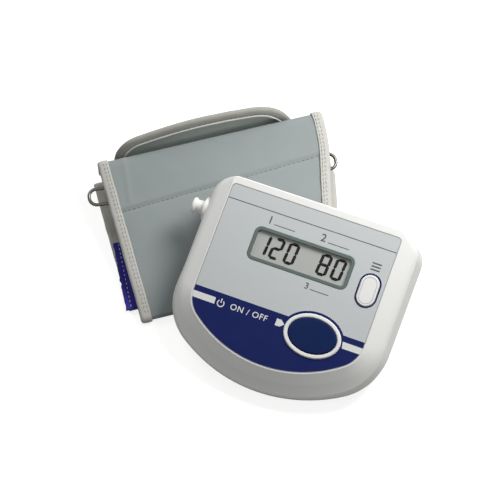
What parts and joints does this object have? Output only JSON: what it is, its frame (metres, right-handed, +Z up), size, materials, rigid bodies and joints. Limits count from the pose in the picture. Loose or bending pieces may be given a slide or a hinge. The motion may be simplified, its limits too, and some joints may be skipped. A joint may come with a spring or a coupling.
{
  "type": "arm-in blood pressure monitor",
  "caption": "Wedge-shaped desktop display unit with an oval start key, a slim memory key and an air plug, leaning on its folded cloth arm cuff with a wire ring.",
  "frame": {"origin": "bottom centre of the whole object's bounding box, on the table the cuff lies on", "axes": "+X along the cuff's width to the right, +Y towards the cuff's far fold, +Z up; the unit is turned about 37 degrees clockwise and leans back up on the cuff"},
  "size_m": [0.1762, 0.1888, 0.0561],
  "materials": {
    "cuff_cloth": "plain woven nylon, matt",
    "flap_cloth": "brushed loop cloth, dark grey",
    "binding_tape": "folded woven edge tape, stitched",
    "fastener_pile": "navy loop pile, stitched",
    "bladder_rubber": "soft sheet",
    "grey_plastic": "moulded, fine texture",
    "plated_wire": "bright nickel plate",
    "white_shell": "moulded ABS, satin gloss",
    "label_film": "printed film, satin",
    "dark_frame": "moulded, dark grey green",
    "clear_window": "clear acrylic",
    "lcd_glass": "reflective liquid crystal cell",
    "navy_key": "moulded, smooth navy",
    "white_key": "moulded, smooth white",
    "circuit_board": "green solder mask",
    "contact_metal": "nickel plated spring steel",
    "black_plastic": "moulded black",
    "hose_rubber": "smooth tube",
    "motor_steel": "drawn can",
    "cell_jacket": "plain printed jacket",
    "grey_rubber": "moulded foot"
  },
  "bodies": {
    "cuff": {"cuff_upper_panel": "cuff_cloth", "left_binding": "binding_tape", "right_binding": "binding_tape", "cuff_lining": "cuff_cloth", "cuff_bladder": "bladder_rubber", "cuff_lower_panel": "cuff_cloth", "lower_left_binding": "binding_tape", "lower_right_binding": "binding_tape", "fastener_patch": "fastener_pile", "ring_sleeve": "cuff_cloth", "hose_port": "grey_plastic"},
    "flap": {"cuff_flap": "flap_cloth", "flap_binding": "binding_tape"},
    "ring": {"cuff_ring": "plated_wire"},
    "unit": {"top_housing": "white_shell", "bottom_housing": "white_shell", "label_panel": "label_film", "lcd_frame": "dark_frame", "lcd_window": "clear_window", "lcd_module": "lcd_glass", "start_button_ring": "white_shell", "main_board": "circuit_board", "key_switches": "contact_metal", "sounder": "black_plastic", "pressure_sensor": "black_plastic", "pump_hose": "hose_rubber", "socket_hose": "hose_rubber", "air_pump": "motor_steel", "release_valve": "motor_steel", "air_socket": "white_shell", "aa_cells": "cell_jacket", "battery_contacts": "contact_metal", "rubber_feet": "grey_rubber", "housing_screws": "contact_metal"},
    "start_key": {"start_button": "navy_key"},
    "memory_key": {"memory_button": "white_key"},
    "battery_door": {"battery_cover": "white_shell"},
    "plug": {"air_plug": "white_shell", "plug_seal": "hose_rubber"}
  },
  "joints": [
    {"name": "lift_off", "type": "slide", "parent": "cuff", "child": "unit", "axis": [0, 0, 1], "range_m": [0, 0.08]},
    {"name": "start_press", "type": "slide", "parent": "unit", "child": "start_key", "axis": [0.2019, 0.2803, -0.9384], "range_m": [0, 0.0008], "stiffness_N_per_m": 900},
    {"name": "memory_press", "type": "slide", "parent": "unit", "child": "memory_key", "axis": [0.2019, 0.2803, -0.9384], "range_m": [0, 0.0008], "stiffness_N_per_m": 700},
    {"name": "cover_slide", "type": "slide", "parent": "unit", "child": "battery_door", "axis": [0.5977, 0.7819, 0.1771], "range_m": [0, 0.012]},
    {"name": "plug_pull", "type": "slide", "parent": "unit", "child": "plug", "axis": [-0.7955, 0.6059, 0.0098], "range_m": [0, 0.011]},
    {"name": "ring_swing", "type": "hinge", "parent": "cuff", "child": "ring", "pos_m": [-0.0114, 0.06598, 0.01879], "axis": [0.9965, -0.0816, -0.0185], "range_deg": [0, 20]},
    {"name": "flap_fold", "type": "hinge", "parent": "cuff", "child": "flap", "pos_m": [-0.0058, 0.08958, 0.0017], "axis": [1, 0, 0], "range_deg": [-75, 0]}
  ]
}
